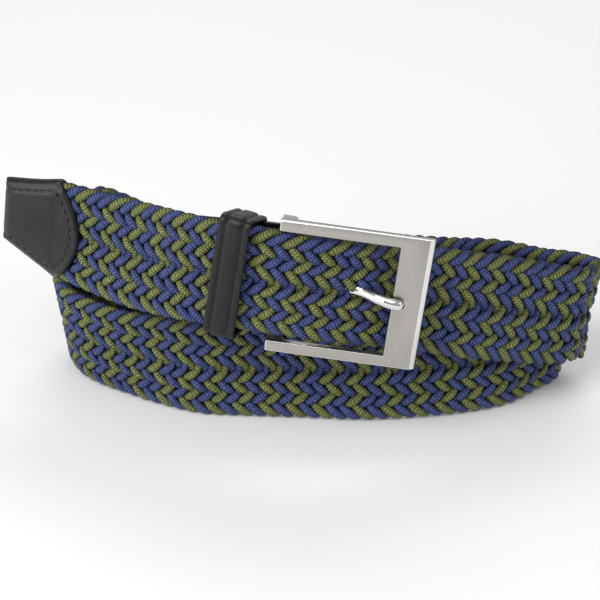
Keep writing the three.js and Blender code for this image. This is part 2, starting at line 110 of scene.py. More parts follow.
# Rows of x, y, rise and tilt, as in the CAD
COIL_ROWS = (
    (-1.01, 0.2, 1.155, 0), (-0.86, -0.025, 1.083, -1), (-0.71, -0.26, 1.045, -9),
    (-0.54, -0.565, 1.06, -16), (-0.37, -0.87, 1.095, -11), (-0.18, -1.09, 1.11, -6),
    (0.005, -1.15, 1.045, -4), (0.175, -1.07, 0.94, -4.5), (0.34, -0.94, 0.84, -8),
    (0.49, -0.86, 0.73, -11), (0.64, -0.75, 0.615, -11), (0.785, -0.6, 0.47, -5),
    (0.895, -0.46, 0.37, 2), (0.945, -0.28, 0.32, 6), (0.958, -0.1, 0.26, 7),
    (0.92, 0.1, 0.21, 7), (0.83, 0.29, 0.155, 6), (0.68, 0.51, 0.14, 5),
    (0.51, 0.66, 0.09, 4), (0.24, 0.84, 0.05, 2), (-0.02, 0.94, 0.008, 0),
    (-0.24, 0.93, 0, 0), (-0.46, 0.86, 0, 0), (-0.65, 0.76, 0, 0),
    (-0.775, 0.6, 0, 0), (-0.83, 0.4, 0, 6), (-0.83, 0.19, 0, 7),
    (-0.785, -0.09, 0, 7), (-0.71, -0.29, 0, 7), (-0.6, -0.48, 0, 7),
    (-0.5, -0.6, 0, 3), (-0.35, -0.74, 0, -1), (-0.18, -0.755, 0, -5),
    (0, -0.76, 0, -8), (0.22, -0.79, 0, -9), (0.48, -0.71, 0, -8),
    (0.67, -0.58, 0, -4), (0.8, -0.36, 0, 3), (0.865, -0.235, 0, 5),
    (0.885, -0.105, 0, 5), (0.86, 0.03, 0, 5), (0.785, 0.135, 0, 3),
    (0.62, 0.335, 0, 2), (0.45, 0.48, 0.002, 2), (0.22, 0.64, 0.01, 0),
    (-0.02, 0.71, 0.05, 0), (-0.24, 0.69, 0.13, 0), (-0.44, 0.63, 0.24, 0),
    (-0.6, 0.53, 0.39, 0), (-0.7, 0.38, 0.54, 0), (-0.74, 0.19, 0.68, 0),
    (-0.705, 0.02, 0.82, -3), (-0.63, -0.1, 0.94, -7),
)

# Braid
STRANDS = 17
STITCH_PITCH = 4.3
STRAND_WIDTH = 2.9
STRAND_THICK = 2.1
STRAND_SWAY = 1.15
STRAND_PINCH = 0.2
STRAND_SIDES = 10
SPOTS_PER_STEP = 4
FLOAT_CENTRES = (1.5, 3.5, 5.5, 7.5, 9.5, 11.5, 13.5, 15.5, 18.5, 20.5, 22.5, 24.5, 26.5, 28.5, 30.5, 32.5)
THREAD_LENGTH = 0.85
THREAD_ROWS = 12
THREAD_SLANT = 0.5
BRAID_START = 17
PRONG_HOLE = BAR_FROM_TIP + 24
CORE_HALF = 0.12
CORE_MARGIN = 1.6
SWAY_POWER = 0.8
STRAND_SQUARENESS = 2.3
PARTING = 1.3
PARTING_LENGTH = 3.2
PARTING_ACROSS = 2.2

# Stitches, relief, the keeper's lean and the metal's edges
STITCH_INSET = 3
TIP_STITCHES = 23
TIP_STITCH_LENGTH = 2.1
TIP_PLY_ROUND = 0.9
TIP_DOME = 0.6
TIP_DOME_REACH = 8
TIP_SHOULDER = 2.2
SEAM_DEPTH = 0.24
SEAM_WIDTH = 0.55
KEEPER_CROWN = 0.28
KEEPER_EDGE = 0.6
KEEPER_LEAN = math.radians(8)
KEEPER_STITCH_PITCH = 1.75
CHAPE_STITCH_PITCH = 3
CHAPE_STITCH_LENGTH = 2.1
CHAPE_SEAM_INSET = 2.4
LEATHER_EDGE = 0.3
METAL_EDGE = 0.4

# Radius of a stitch's thread and lift of its middle
TIP_THREAD = (0.34, 0.22)
KEEPER_THREAD = (0.2, 0.1)
CHAPE_THREAD = (0.32, 0.12)

# Camera
CAMERA_TARGET = (-0.2, -8.15, 35)
CAMERA_DISTANCE = 560
CAMERA_ELEVATION = 30
FOCAL = 105.8


# Path of the strap

def smooth(t):
    u = np.clip(t, 0, 1)
    return u * u * (3 - 2 * u)


def blend(a, b, c, d, t):
    return 0.5 * (2 * b + (c - a) * t + (2 * a - 5 * b + 4 * c - d) * t**2 + (3 * b - 3 * c + d - a) * t**3)


def unit(v):
    return v / np.linalg.norm(v, axis=-1, keepdims=True)


def station_of(x, y, rise, tilt):
    lean = math.radians(tilt)
    lowest = BELT_WIDTH / 2 * math.cos(lean) + EDGE_FLAT / 2 * abs(math.sin(lean))
    return (COIL_X + x * COIL_LENGTH / 2, COIL_Y + y * COIL_DEPTH / 2, rise * BELT_WIDTH + lowest, lean)


def spline(rows, per_row):
    """Points of a smooth curve through rows."""
    rows = np.array(rows, float)
    place = np.arange((len(rows) - 1) * per_row + 1) / per_row
    i = np.minimum(place.astype(int), len(rows) - 2)
    row = lambda k: rows[np.clip(k, 0, len(rows) - 1)]
    return blend(row(i - 1), row(i), row(i + 1), row(i + 2), (place - i)[:, None])


class StrapPath:
    """The strap's middle line, which gives its frame at any length along it."""

    def __init__(self, stations):
        spots = spline(stations, 24)
        self.points = spots[:, :3]
        self.tilts = spots[:, 3]
        steps = np.linalg.norm(np.diff(self.points, axis=0), axis=1)
        self.lengths = np.concatenate(([0], np.cumsum(steps)))
        self.length = self.lengths[-1]

    def at(self, length):
        inside = np.clip(length, 0, self.length)
        point = np.stack([np.interp(inside, self.lengths, self.points[:, k]) for k in range(3)], axis=-1)
        first = unit(self.points[1] - self.points[0])
        last = unit(self.points[-1] - self.points[-2])
        beyond = np.where(length < 0, length, 0)[..., None] * first
        beyond = beyond + np.where(length > self.length, length - self.length, 0)[..., None] * last
        return point + beyond, np.interp(inside, self.lengths, self.tilts)

    def frame(self, length):
        length = np.asarray(length, float)
        point, tilt = self.at(length)
        along = unit(self.at(length + 1)[0] - self.at(length - 1)[0])
        level = unit(np.cross(along, (0, 0, 1)))
        past = smooth((length - UPRIGHT_FROM) / UPRIGHT_BLEND)
        before = smooth((self.length - UPRIGHT_TO - length) / UPRIGHT_BLEND)
        facing = along.copy()
        facing[..., 2] *= 1 - past * before
        facing = unit(facing)
        up = np.cross(level, facing) * np.cos(tilt)[..., None] + level * np.sin(tilt)[..., None]
        out = np.cross(along, up)
        up = up / np.linalg.norm(out, axis=-1, keepdims=True)
        return point, along, up, unit(out)

    def place(self, length, across, out):
        point, _, up, face = self.frame(length)
        return point + up * np.asarray(across, float)[..., None] + face * np.asarray(out, float)[..., None]


outer = StrapPath([station_of(*row) for row in COIL_ROWS])
CHAPE_HALF = STITCHED_THICK / 2 + FIT + LEATHER
LAYER = BELT_THICK / 2 + LAYER_GAP + CHAPE_HALF


def last_rows():
    rows = []
    for k in range(-1, 7):
        length = BAR_FROM_TIP + (k / 5 - 1) * CHAPE_LENGTH
        point = outer.place(length, -CHAPE_DROOP * (1 - k / 5), -LAYER)
        rows.append((*point, float(outer.at(length)[1])))
    return rows


strap = StrapPath([station_of(*row) for row in COIL_ROWS] + last_rows())
crossbar_point = outer.place(BAR_FROM_TIP, -CROSSBAR_DROP, -LAYER)
near_bar = np.arange(strap.length * 0.8, strap.length, 0.05)
STRAP_LENGTH = near_bar[np.argmin(np.linalg.norm(strap.at(near_bar)[0] - crossbar_point, axis=1))]
BRAID_END = STRAP_LENGTH - CHAPE_STRAP_GAP


def tip_width(length):
    return TIP_BLUNT + (BELT_WIDTH - TIP_BLUNT) * np.clip(length / TIP_TAPER, 0, 1)


def strap_width(length):
    edge = TIP_EDGE + FIT
    free = smooth((length - TIP_TAPER) / edge)
    width = (tip_width(length) - 2 * edge) * (1 - free) + BELT_WIDTH * free
    from_chape = smooth((STRAP_LENGTH - CHAPE_LENGTH - STEP / 2 - length) / PRESS_LENGTH)
    return (CHAPE_WIDTH - 2 * CHAPE_MARGIN) * (1 - from_chape) + width * from_chape


def strap_thick(length):
    from_tip = smooth((length - TIP_TAPER) / PRESS_LENGTH)
    from_chape = smooth((STRAP_LENGTH - CHAPE_LENGTH - STEP / 2 - length) / PRESS_LENGTH)
    full = np.minimum(from_tip, from_chape)
    return STITCHED_THICK * (1 - full) + BELT_THICK * full


# Buckle's own axes: along to the front bar, up along the crossbar, out to the front
buckle_turn, buckle_fall, buckle_roll = (math.radians(a) for a in (BUCKLE_TURN, BUCKLE_FALL, BUCKLE_ROLL))
buckle_along = unit(np.array([math.cos(buckle_turn), math.sin(buckle_turn), -math.tan(buckle_fall)]))
buckle_level = unit(np.cross(buckle_along, (0, 0, 1)))
buckle_upright = np.cross(buckle_level, buckle_along)
buckle_up = buckle_upright * math.cos(buckle_roll) + buckle_level * math.sin(buckle_roll)
buckle_out = np.cross(buckle_along, buckle_up)
buckle_axes = np.stack([buckle_along, buckle_up, buckle_out])


def from_buckle(points):
    return crossbar_point + np.asarray(points, float) @ buckle_axes


def strap_height(past):
    across = np.array([-BELT_WIDTH / 2, 0, BELT_WIDTH / 2])
    spots = outer.place(np.full(3, BAR_FROM_TIP + past), across, np.full(3, BELT_THICK / 2))
    return float(((spots - crossbar_point) @ buckle_out).max())


FRONT_BAR_START = BUCKLE_REACH - FRONT_BAR
UNDER_BAR = max(strap_height(FRONT_BAR_START + k * FRONT_BAR) for k in (0, 0.25, 0.5, 0.75, 1))
FACE_HEIGHT = max(LAYER + BELT_THICK / 2 - ARM_SUNK, UNDER_BAR + FIT + ARM_THICK)
WINDOW_HEIGHT = BELT_WIDTH + 2 * WINDOW_CLEAR
OUTER_HEIGHT = WINDOW_HEIGHT + 2 * ARM


# Materials

def new_material(name, **values):
    material = bpy.data.materials.new(name)
    material.use_nodes = True
    shader = material.node_tree.nodes["Principled BSDF"]
    for socket, value in values.items():
        shader.inputs[socket.replace("_", " ")].default_value = value
    return material, material.node_tree, shader


def add_node(tree, kind, links=(), **settings):
    node = tree.nodes.new(kind)
    for key, value in settings.items():
        if key in node.inputs:
            node.inputs[key].default_value = value
        else:
            setattr(node, key, value)
    for socket, source in links:
        tree.links.new(source, node.inputs[socket])
    return node


def math_node(tree, operation, a, b=None, c=None):
    node = tree.nodes.new("ShaderNodeMath")
    node.operation = operation
    for index, value in enumerate((a, b, c)):
        if isinstance(value, (int, float)):
            node.inputs[index].default_value = value
        elif value is not None:
            tree.links.new(value, node.inputs[index])
    return node.outputs[0]


def ramp_node(tree, source, stops):
    ramp = tree.nodes.new("ShaderNodeValToRGB")
    tree.links.new(source, ramp.inputs["Fac"])
    elements = ramp.color_ramp.elements
    while len(elements) < len(stops):
        elements.new(0.5)
    for element, (place, colour) in zip(elements, stops):
        element.position = place
        element.color = (*colour, 1)
    return ramp.outputs["Color"]


def noise_node(tree, scale, detail=2.0, source=None):
    coords = tree.nodes.new("ShaderNodeTexCoord")
    noise = tree.nodes.new("ShaderNodeTexNoise")
    noise.inputs["Scale"].default_value = scale
    noise.inputs["Detail"].default_value = detail
    tree.links.new(source or coords.outputs["Object"], noise.inputs["Vector"])
    return noise.outputs["Fac"]


def bump_into(tree, shader, height, distance, strength=1.0):
    bump = tree.nodes.new("ShaderNodeBump")
    bump.inputs["Distance"].default_value = distance
    bump.inputs["Strength"].default_value = strength
    tree.links.new(height, bump.inputs["Height"])
    tree.links.new(bump.outputs["Normal"], shader.inputs["Normal"])


def cord_material(name, dark, middle, light):
    """A cord of twisted yarn: chevron rows of small threads along the strand, with painted sheen on the
    threads and painted shade between them and at the strand's sides.
    """
    material, tree, shader = new_material(name, Roughness=0.62, Specular_IOR_Level=0.35)
    uv = tree.nodes.new("ShaderNodeUVMap")
    uv.uv_map = "cord"
    parts = add_node(tree, "ShaderNodeSeparateXYZ", [("Vector", uv.outputs["UV"])])
    around = math_node(tree, "MULTIPLY", parts.outputs["Y"], THREAD_ROWS)
    fold = math_node(tree, "PINGPONG", around, 1.0)
    along = math_node(tree, "DIVIDE", parts.outputs["X"], THREAD_LENGTH)
    phase = math_node(tree, "ADD", along, math_node(tree, "MULTIPLY", fold, THREAD_SLANT))
    wobble = math_node(tree, "MULTIPLY", noise_node(tree, 700), 0.9)
    turns = math_node(tree, "MULTIPLY", math_node(tree, "ADD", phase, wobble), 2 * math.pi)
    thread = math_node(tree, "MULTIPLY_ADD", math_node(tree, "SINE", turns), 0.5, 0.5)
    seam = math_node(tree, "SINE", math_node(tree, "MULTIPLY", fold, math.pi))
    relief = math_node(tree, "MULTIPLY", thread, math_node(tree, "MULTIPLY_ADD", seam, 0.45, 0.55))
    # Painted shade: the strand's top lighter and its sides darker, as light falls on a round cord.
    crown = math_node(tree, "SINE", math_node(tree, "MULTIPLY", parts.outputs["Y"], 2 * math.pi))
    crown = math_node(tree, "MULTIPLY", math_node(tree, "ABSOLUTE", crown), 0.42)
    patch = math_node(tree, "MULTIPLY_ADD", noise_node(tree, 900, 3), 0.3, -0.15)
    # Tone: the threads' pattern, partly painted sheen and painted shade, plus the painted side shade and a
    # random patch of tone.
    tone = math_node(tree, "ADD", math_node(tree, "MULTIPLY_ADD", relief, 0.5, crown), patch)
    stops = ((0.16, dark), (0.52, middle), (1.0, light))
    tree.links.new(ramp_node(tree, tone, stops), shader.inputs["Base Color"])
    fuzz = math_node(tree, "MULTIPLY", noise_node(tree, 5000, 2), 0.15)
    bump_into(tree, shader, math_node(tree, "ADD", relief, fuzz), 0.00016, 0.9)
    return material


def leather_material(name, base, roughness):
    material, tree, shader = new_material(name, Roughness=roughness, Specular_IOR_Level=0.36)
    coords = tree.nodes.new("ShaderNodeTexCoord")
    cells = add_node(tree, "ShaderNodeTexVoronoi", [("Vector", coords.outputs["Object"])], Scale=1900.0)
    cells.feature = "SMOOTH_F1"
    creases = noise_node(tree, 300, 6)
    height = math_node(tree, "MULTIPLY_ADD", cells.outputs["Distance"], 0.4, creases)
    bump_into(tree, shader, height, 0.00012, 0.6)
    lighter = tuple(min(1, c * 1.8) for c in base)
    tree.links.new(ramp_node(tree, creases, ((0.3, base), (0.75, lighter))), shader.inputs["Base Color"])
    wear = add_node(tree, "ShaderNodeMapRange", [("Value", noise_node(tree, 90, 3))])
    wear.inputs["To Min"].default_value = roughness - 0.07
    wear.inputs["To Max"].default_value = roughness + 0.09
    tree.links.new(wear.outputs["Result"], shader.inputs["Roughness"])
    return material


def metal_material(name, colour, roughness, brushed):
    material, tree, shader = new_material(name, Metallic=1.0, Roughness=roughness)
    coords = tree.nodes.new("ShaderNodeTexCoord")
    mapping = add_node(tree, "ShaderNodeMapping", [("Vector", coords.outputs["Object"])])
    mapping.inputs["Scale"].default_value = (1, 1, 0.04)
    streaks = noise_node(tree, 2600, 3, mapping.outputs["Vector"])
    tint = tuple(c * 0.92 for c in colour)
    tree.links.new(ramp_node(tree, streaks, ((0.25, tint), (0.75, colour))), shader.inputs["Base Color"])
    spread = add_node(tree, "ShaderNodeMapRange", [("Value", noise_node(tree, 160, 4))])
    spread.inputs["To Min"].default_value = roughness * 0.88
    spread.inputs["To Max"].default_value = roughness * 1.15
    tree.links.new(spread.outputs["Result"], shader.inputs["Roughness"])
    if brushed:
        bump_into(tree, shader, streaks, 0.00002, brushed)
    return material


def thread_material(name, dark, light):
    material, tree, shader = new_material(name, Roughness=0.5)
    shade = ramp_node(tree, noise_node(tree, 1800, 3), ((0.3, dark), (0.8, light)))
    tree.links.new(shade, shader.inputs["Base Color"])
    bump_into(tree, shader, noise_node(tree, 2600, 2), 0.0001)
    return material


# Cord colours, dark, middle and light: the light one is partly painted sheen on the threads, the dark one
# partly painted shade between them and at the strands' sides.
blue_cord = cord_material("blue_cord", (0.002, 0.003, 0.014), (0.015, 0.026, 0.108), (0.12, 0.17, 0.42))
green_cord = cord_material("green_cord", (0.007, 0.01, 0.003), (0.075, 0.09, 0.019), (0.36, 0.39, 0.13))
black_leather = leather_material("black_leather", (0.005, 0.005, 0.006), 0.34)
keeper_leather = leather_material("keeper_leather", (0.005, 0.005, 0.006), 0.4)
black_thread = thread_material("black_thread", (0.004, 0.004, 0.004), (0.025, 0.025, 0.025))
satin_nickel = metal_material("satin_nickel", (0.47, 0.45, 0.425), 0.34, 0.5)
bright_nickel = metal_material("bright_nickel", (0.8, 0.79, 0.77), 0.16, 0.0)
chrome = metal_material("chrome", (0.8, 0.8, 0.8), 0.08, 0.0)
# Near-black colour of the sheet inside the braid: painted shade for the gaps between the strands.
gap_shade_core = thread_material("gap_shade_core", (0.001, 0.001, 0.002), (0.006, 0.006, 0.008))


# Meshes

def add_mesh(name, points, faces, materials, slot, turn_out=True):
    """A piece from points in millimetres. turn_out turns its faces outwards and keeps its corners sharp."""
    mesh = bpy.data.meshes.new(name)
    mesh.from_pydata((np.asarray(points) * MM).tolist(), [], faces)
    for material in materials:
        mesh.materials.append(material)
    if turn_out:
        work = bmesh.new()
        work.from_mesh(mesh)
        bmesh.ops.recalc_face_normals(work, faces=work.faces)
        work.to_mesh(mesh)
        work.free()
    mesh.polygons.foreach_set("use_smooth", [True] * len(mesh.polygons))
    if turn_out:
        mesh.set_sharp_from_angle(angle=math.radians(38))
    mesh.update()
    piece = bpy.data.objects.new(name, mesh)
    bpy.context.scene.collection.objects.link(piece)
    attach(piece, "root")
    return piece


def ring_faces(rings, sides, first=0, closed=False):
    """Quads between rings of points, and the flat ends of an open row of them."""
    faces = []
    for i in range(rings if closed else rings - 1):
        a = first + i * sides
        b = first + (i + 1) % rings * sides
        faces += [(a + j, a + (j + 1) % sides, b + (j + 1) % sides, b + j) for j in range(sides)]
    if not closed:
        faces.append(tuple(first + j for j in reversed(range(sides))))
        faces.append(tuple(first + (rings - 1) * sides + j for j in range(sides)))
    return faces


def joined(parts):
    """Points and faces of several meshes as those of one."""
    points = []
    faces = []
    for part_points, part_faces in parts:
        first = sum(len(p) for p in points)
        points.append(np.asarray(part_points, float).reshape(-1, 3))
        faces += [tuple(first + k for k in face) for face in part_faces]
    return np.concatenate(points), faces


def tube(rings, closed=False):
    rings = np.asarray(rings, float)
    return rings.reshape(-1, 3), ring_faces(rings.shape[0], rings.shape[1], 0, closed)


def prism(outline, low, high, order):
    """An outline drawn out from low to high along a third axis. order gives the axes of x, y and that one."""
    points = np.zeros((2, len(outline), 3))
    points[:, :, order[0]] = [p[0] for p in outline]
    points[:, :, order[1]] = [p[1] for p in outline]
    points[0, :, order[2]] = low
    points[1, :, order[2]] = high
    return points.reshape(-1, 3), ring_faces(2, len(outline))


def stitch_parts(starts, ends, normals, radius, lift):
    """A small bent rod of thread for each start and end, its middle raised off the surface."""
    parts = []
    for start, end, normal in zip(starts, ends, normals):
        along = unit(end - start)
        side = unit(np.cross(along, normal))
        rings = []
        for t in np.linspace(-1, 1, 7):
            size = radius * math.sqrt(1 - 0.92 * t**4)
            spot = (start + end) / 2 + (end - start) / 2 * t + normal * lift * (1 - t * t)
            angle = 2 * np.pi * np.arange(7) / 7
            rings.append(spot + size * (np.cos(angle)[:, None] * side + np.sin(angle)[:, None] * normal))
        parts.append(tube(rings))
    return parts


# Braid

def strand_place(step):
    """Across, as a share of the strap's half width, and the sway out of its face, at a step of the braid."""
    turn = STRANDS
    n = np.mod(step, 2 * turn)
    folded = np.abs(np.mod(n + turn, 2 * turn) - turn)
    soft = 0.55
    lower = np.sqrt(folded**2 + soft**2) - soft
    upper = np.sqrt((turn - folded) ** 2 + soft**2) - soft
    across = np.where(folded < turn / 2, lower, turn - upper) / turn * 2 - 1
    centres = np.array([FLOAT_CENTRES[-1] - 2 * turn, *FLOAT_CENTRES, FLOAT_CENTRES[0] + 2 * turn])
    i = np.searchsorted(centres, n) - 1
    share = (n - centres[i]) / (centres[i + 1] - centres[i])
    sign = np.where(i % 2 == 1, -1.0, 1.0)
    wave = np.cos(np.pi * share)
    return across, sign * np.sign(wave) * np.abs(wave) ** SWAY_POWER


def strand_rings(index, start, end):
    step_length = STITCH_PITCH / 2
    spots = SPOTS_PER_STEP
    count = int((end - start) / step_length * spots)
    length = np.linspace(start, end, count)
    across, sway = strand_place(length / step_length + 2 * index)
    half = (strap_width(length) - STRAND_WIDTH) / 2
    thin = (strap_thick(length) - STRAND_THICK) / (BELT_THICK - STRAND_THICK)
    side = half * across
    parted = np.exp(-(((length - PRONG_HOLE) / PARTING_LENGTH) ** 2)) * np.exp(-np.abs(side) / PARTING_ACROSS)
    side = side + PARTING * np.sign(side) * parted
    middle = strap.place(length, side, STRAND_SWAY * thin * sway)
    tangent = unit(np.gradient(middle, axis=0))
    face = strap.frame(length)[3]
    wide = unit(np.cross(face, tangent))
    thick = np.cross(tangent, wide)
    sides = STRAND_SIDES
    angle = 2 * np.pi * np.arange(sides) / sides
    power = STRAND_SQUARENESS
    squeeze = 1 / (np.abs(np.cos(angle)) ** power + np.abs(np.sin(angle)) ** power) ** (1 / power)
    pinch = (1 - STRAND_PINCH * (1 - np.abs(sway)))[:, None]
    a = pinch * STRAND_WIDTH / 2 * np.cos(angle) * squeeze
    b = pinch * STRAND_THICK / 2 * np.sin(angle) * squeeze
    rings = middle[:, None] + wide[:, None] * a[..., None] + thick[:, None] * b[..., None]
    run = np.concatenate(([0], np.cumsum(np.linalg.norm(np.diff(middle, axis=0), axis=1))))
    return rings, run


def add_cords(name, indices, material):
    points = []
    faces = []
    uvs = []
    for index in indices:
        rings, run = strand_rings(index, BRAID_START, BRAID_END)
        count, sides = rings.shape[:2]
        first = sum(len(p) for p in points)
        points.append(rings.reshape(-1, 3))
        faces += ring_faces(count, sides, first)
        offset = 0.37 * index
        for i in range(count - 1):
            for j in range(sides):
                corners = ((i, j), (i, j + 1), (i + 1, j + 1), (i + 1, j))
                uvs += [(run[p] + offset, q / sides) for p, q in corners]
        uvs += [(0, 0)] * (2 * sides)
    piece = add_mesh(name, np.concatenate(points), faces, [material], "braid", turn_out=False)
    layer = piece.data.uv_layers.new(name="cord")
    layer.data.foreach_set("uv", np.array(uvs).ravel())
    return piece


blue = list(range(0, STRANDS, 2))
green = list(range(1, STRANDS, 2))
cords = [
    add_cords("blue_cords_a", blue[:5], blue_cord),
    add_cords("blue_cords_b", blue[5:], blue_cord),
    add_cords("green_cords_a", green[:4], green_cord),
    add_cords("green_cords_b", green[4:], green_cord),
]
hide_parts("braided_strap")


def core_mesh():
    """A thin near-black sheet in the middle of the braid: painted shade that keeps the gaps between its
    strands dark.
    """
    rings = []
    for length in np.arange(BRAID_START, BRAID_END, STEP / 2):
        half = float(strap_width(length)) / 2 - CORE_MARGIN
        corners = ((half, CORE_HALF), (half, -CORE_HALF), (-half, -CORE_HALF), (-half, CORE_HALF))
        rings.append([strap.place(length, across, out) for across, out in corners])
    return tube(rings)


# The near-black sheet paints the shade in the gaps between the strands.
add_mesh("braid_gap_shade", *core_mesh(), [gap_shade_core], "braid", turn_out=False)


# Leather tip, as a pillow of two plies over the strap's end

ARC_START = TIP_LENGTH - TIP_BULGE
SLOPE = math.atan2((BELT_WIDTH - TIP_BLUNT) / 2, TIP_TAPER)


def tip_arc(c):
    """Length and across on the tip's bowed inner edge, for c from -1 at one border to 1 at the other."""
    return np.stack([ARC_START + TIP_BULGE * (1 - c * c), BELT_WIDTH / 2 * c], axis=-1)


def nearest(spots, line):
    """Distance from each spot to a line of points."""
    start = line[:-1]
    step = np.diff(line, axis=0)
    offset = spots[:, None] - start
    share = np.clip((offset * step).sum(-1) / (step * step).sum(-1), 0, 1)
    return np.linalg.norm(offset - share[..., None] * step, axis=-1).min(axis=1)


arc_line = tip_arc(np.linspace(-1, 1, 41))
lower_side = np.array([[0, -TIP_BLUNT / 2], [TIP_TAPER, -BELT_WIDTH / 2], [ARC_START, -BELT_WIDTH / 2]])
upper_side = lower_side * (1, -1)
blunt_end = np.array([[0, -TIP_BLUNT / 2], [0, TIP_BLUNT / 2]])
SIDE_HEIGHT = 0.35


def tip_height(length, across):
    """Height of the tip's face over the strap's middle."""
    spots = np.stack([length, across], axis=-1).reshape(-1, 2)
    to_arc = nearest(spots, arc_line).reshape(length.shape)
    sides = [nearest(spots, line).reshape(length.shape) for line in (lower_side, upper_side)]
    to_blunt = nearest(spots, blunt_end).reshape(length.shape)
    to_side = np.minimum(np.minimum(*sides), to_blunt)
    to_edge = np.minimum(to_side, to_arc)
    inner = strap_thick(length) / 2 + 0.1
    inner = SIDE_HEIGHT + (inner - SIDE_HEIGHT) * (1 - np.exp(-((to_side / TIP_SHOULDER) ** 2)))
    ply = LEATHER * np.sqrt(1 - (1 - np.minimum(to_edge / TIP_PLY_ROUND, 1)) ** 2)
    to_seam = np.minimum(np.minimum(*sides), to_arc)
    seam = SEAM_DEPTH * np.exp(-(((to_seam - STITCH_INSET) / SEAM_WIDTH) ** 2))
    dome = TIP_DOME * smooth((to_edge - STITCH_INSET) / TIP_DOME_REACH)
    return inner + ply + dome - seam


def tip_mesh():
    rows = []
    for length in np.linspace(0, TIP_TAPER, 26):
        rows.append((length, float(tip_width(length)) / 2))
    rows += [(length, half) for length, half in tip_arc(np.cos(np.linspace(0, np.pi / 2 * 0.985, 30)))]
    columns = 48
    v = np.sin(np.linspace(-np.pi / 2, np.pi / 2, columns))
    rings = []
    for length, half in rows:
        across = half * v
        lengths = np.full(columns, length)
        height = tip_height(lengths, across)
        front = strap.place(lengths, across, height)
        back = strap.place(lengths, across, -height)[::-1]
        rings.append(np.concatenate([front, back]))
    return tube(rings)


def tip_stitches():
    """Stitches inside the two slanted sides and the bowed edge, on both faces."""
    inward = STITCH_INSET * np.array([math.sin(SLOPE), -math.cos(SLOPE)])
    upper = np.array([[2.4, 0], [TIP_TAPER - 1.2, 0]])
    upper[:, 1] = TIP_BLUNT / 2 + (upper[:, 0] - inward[0]) * math.tan(SLOPE) + inward[1]
    c = np.linspace(0.9, -0.9, 40)
    turn = unit(np.stack([np.full(40, BELT_WIDTH / 2), 2 * TIP_BULGE * c], axis=-1))
    line = np.concatenate([upper, tip_arc(c) - STITCH_INSET * turn, (upper * (1, -1))[::-1]])
    run = np.concatenate(([0], np.cumsum(np.linalg.norm(np.diff(line, axis=0), axis=1))))
    at = lambda s: np.stack([np.interp(s, run, line[:, 0]), np.interp(s, run, line[:, 1])], axis=-1)
    middle = (np.arange(TIP_STITCHES) + 0.5) * run[-1] / TIP_STITCHES
    first = at(middle - TIP_STITCH_LENGTH / 2)
    second = at(middle + TIP_STITCH_LENGTH / 2)
    parts = []
    for sign in (1, -1):
        place = lambda p: strap.place(p[:, 0], p[:, 1], sign * (tip_height(p[:, 0], p[:, 1]) - 0.05))
        parts += stitch_parts(place(first), place(second), sign * strap.frame(first[:, 0])[3], *TIP_THREAD)
    return joined(parts)


tip = add_mesh("tip_leather", *tip_mesh(), [black_leather], "tip_leather")
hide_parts("leather_tip")
add_mesh("tip_stitches", *tip_stitches(), [black_thread], "tip_leather", turn_out=False)


# Keeper, as a grooved strip bent round the strap and the chape

def keeper_line():
    """Places on the keeper's inner face, as out, across and the two parts of the way out of it."""
    high = BELT_WIDTH + 2 * KEEPER_SIDE
    front = BELT_THICK / 2 + KEEPER_LOOSE
    back = -LAYER - CHAPE_HALF - KEEPER_LOOSE
    corners = np.array([
        [front, high / 2 + KEEPER_TOP_RISE],
        [front, -high / 2],
        [back, -high / 2],
        [back, high / 2 - KEEPER_TOP_FALL],
    ])
    facing = lambda a, b: math.atan2(a[0] - b[0], b[1] - a[1])
    spots = []
    for k, corner in enumerate(corners):
        before = facing(corner, corners[k - 1])
        after = facing(corners[(k + 1) % 4], corner)
        half = math.atan2(math.sin(after - before), math.cos(after - before)) / 2
        inset = KEEPER_ROUND / math.cos(half)
        centre = corner - inset * np.array([math.cos(before + half), math.sin(before + half)])
        for angle in np.linspace(before, before + 2 * half, 11):
            way = np.array([math.cos(angle), math.sin(angle)])
            spots.append(np.concatenate([centre + KEEPER_ROUND * way, way]))
    line = []
    for k, spot in enumerate(spots):
        following = spots[(k + 1) % len(spots)]
        steps = max(1, int(np.linalg.norm(following[:2] - spot[:2]) / 1.2))
        line += [spot + (following - spot) * t / steps for t in range(steps)]
    return np.array(line)


keeper_half = KEEPER_WIDTH / 2
KEEPER_SEAMS = (-0.55 * keeper_half, 0.5 * keeper_half)


def keeper_wall(along):
    """Thickness of the keeper's strip across its width: two creases and a raised middle."""
    creases = sum(np.exp(-(((along - seam) / (GROOVE_WIDTH / 2.2)) ** 2)) for seam in KEEPER_SEAMS)
    from_edge = np.minimum(keeper_half - np.abs(along), KEEPER_EDGE)
    rounded = KEEPER_EDGE - np.sqrt(np.maximum(0, KEEPER_EDGE**2 - (KEEPER_EDGE - from_edge) ** 2))
    middle = sum(KEEPER_SEAMS) / 2
    reach = (KEEPER_SEAMS[1] - KEEPER_SEAMS[0]) / 2
    crown = KEEPER_CROWN * np.sqrt(np.maximum(0, 1 - ((along - middle) / reach) ** 2))
    return KEEPER_WALL - GROOVE_DEPTH * creases - rounded + crown


def keeper_place(spot, along, wall):
    point, forward, up, out = outer.frame(BAR_FROM_TIP - KEEPER_FROM_BAR)
    leant_forward = forward * math.cos(KEEPER_LEAN) - up * math.sin(KEEPER_LEAN)
    leant_up = up * math.cos(KEEPER_LEAN) + forward * math.sin(KEEPER_LEAN)
    across = spot[..., 1] + wall * spot[..., 3]
    height = spot[..., 0] + wall * spot[..., 2]
    return point + along[..., None] * leant_forward + across[..., None] * leant_up + height[..., None] * out


def keeper_mesh():
    top = -keeper_half * np.cos(np.linspace(0, np.pi, 44))
    along = np.concatenate([top, [keeper_half - 0.2, -keeper_half + 0.2]])
    wall = np.concatenate([keeper_wall(top), [0, 0]])
    line = keeper_line()
    rings = [keeper_place(np.broadcast_to(spot, (len(along), 4)), along, wall) for spot in line]
    return tube(rings, closed=True)


